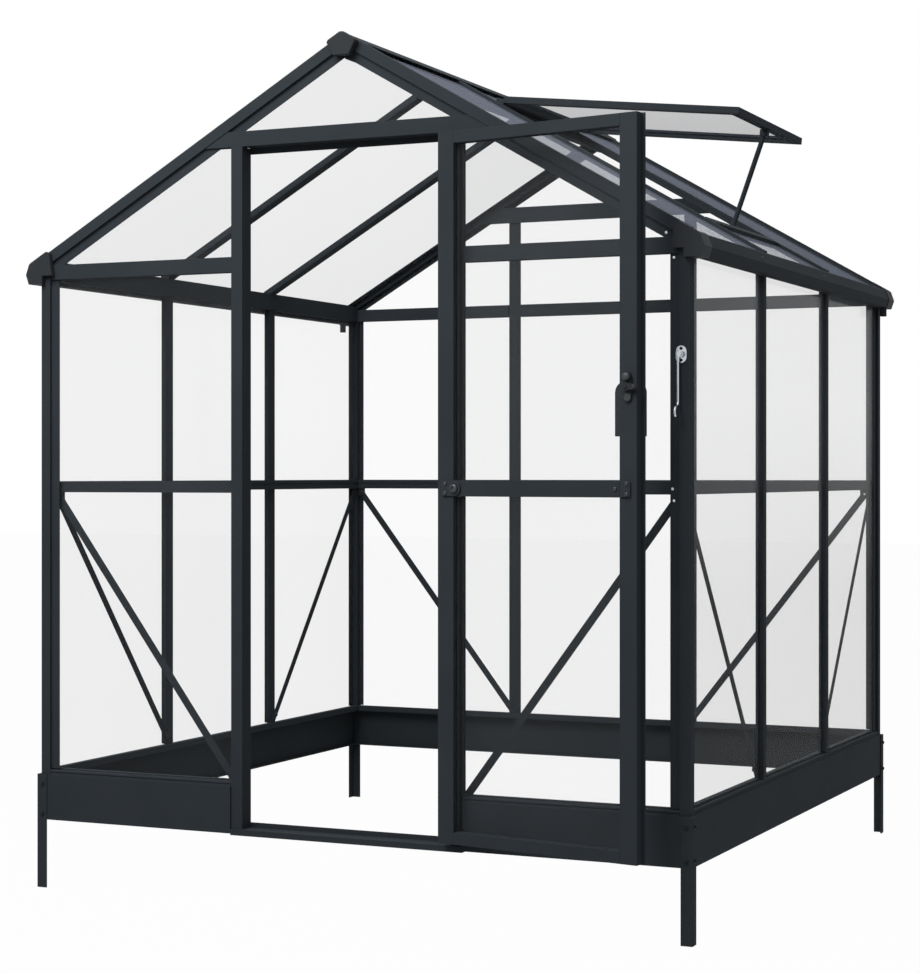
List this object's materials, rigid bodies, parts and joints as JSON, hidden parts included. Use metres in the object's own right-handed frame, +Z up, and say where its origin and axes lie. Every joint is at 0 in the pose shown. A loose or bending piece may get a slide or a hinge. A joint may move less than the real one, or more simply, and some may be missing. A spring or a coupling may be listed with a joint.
{
  "type": "glass greenhouse",
  "caption": "Small glass greenhouse with a dark metal frame on corner stakes, a hinged glazed door, a pitched roof with gutters and an open roof vent.",
  "frame": {"origin": "on the ground, under the middle of the overall box with the door open as shown", "axes": "+Z up, the door wall faces -Y, +X to the right as seen from the door wall, the vent is in the +X roof slope"},
  "size_m": [1.931, 2.0238, 2.2442],
  "materials": {
    "frame": "satin powder coat",
    "glass": "clear",
    "plastic": "fine grain",
    "chrome": "polished",
    "hinge_metal": "satin"
  },
  "bodies": {
    "frame": {"leg_angles": "frame", "base_sides": "frame", "base_back": "frame", "base_front": "frame", "threshold": "frame", "corner_posts": "frame", "door_posts": "frame", "mullions": "frame", "mid_rails": "frame", "eave_rails": "frame", "headers": "frame", "eave_beams": "frame", "gutters": "frame", "gutter_caps": "plastic", "spouts": "plastic", "gable_rafters": "frame", "inner_rafters": "frame", "ridge_beam": "frame", "ridge_caps": "plastic", "braces": "frame", "front_glass": "glass", "left_glass": "glass", "right_glass": "glass", "back_glass": "glass", "left_roof_glass": "glass", "right_roof_glass": "glass", "vent_bars": "frame", "vent_frame": "frame", "vent_glass": "glass", "vent_stay": "frame", "hinge_pins": "hinge_metal", "hook_plate": "chrome"},
    "door": {"door_stiles": "frame", "door_rails": "frame", "door_glass": "glass", "door_knuckles": "hinge_metal", "door_pull": "plastic", "latch_plate": "plastic"},
    "latch": {"latch_lever": "plastic"},
    "hook": {"door_hook": "chrome"}
  },
  "joints": [
    {"name": "door_hinge", "type": "hinge", "parent": "frame", "child": "door", "pos_m": [0.286, -0.85967, 1], "axis": [0, 0, 1], "range_deg": [-169.6, 0]},
    {"name": "latch_turn", "type": "hinge", "parent": "door", "child": "latch", "pos_m": [0.81549, -1.00209, 1.324], "axis": [0.1805, 0.9836, 0], "range_deg": [0, 90]},
    {"name": "hook_swing", "type": "hinge", "parent": "frame", "child": "hook", "pos_m": [0.903, -0.86807, 1.405], "axis": [0, 1, 0], "range_deg": [0, 90]}
  ]
}
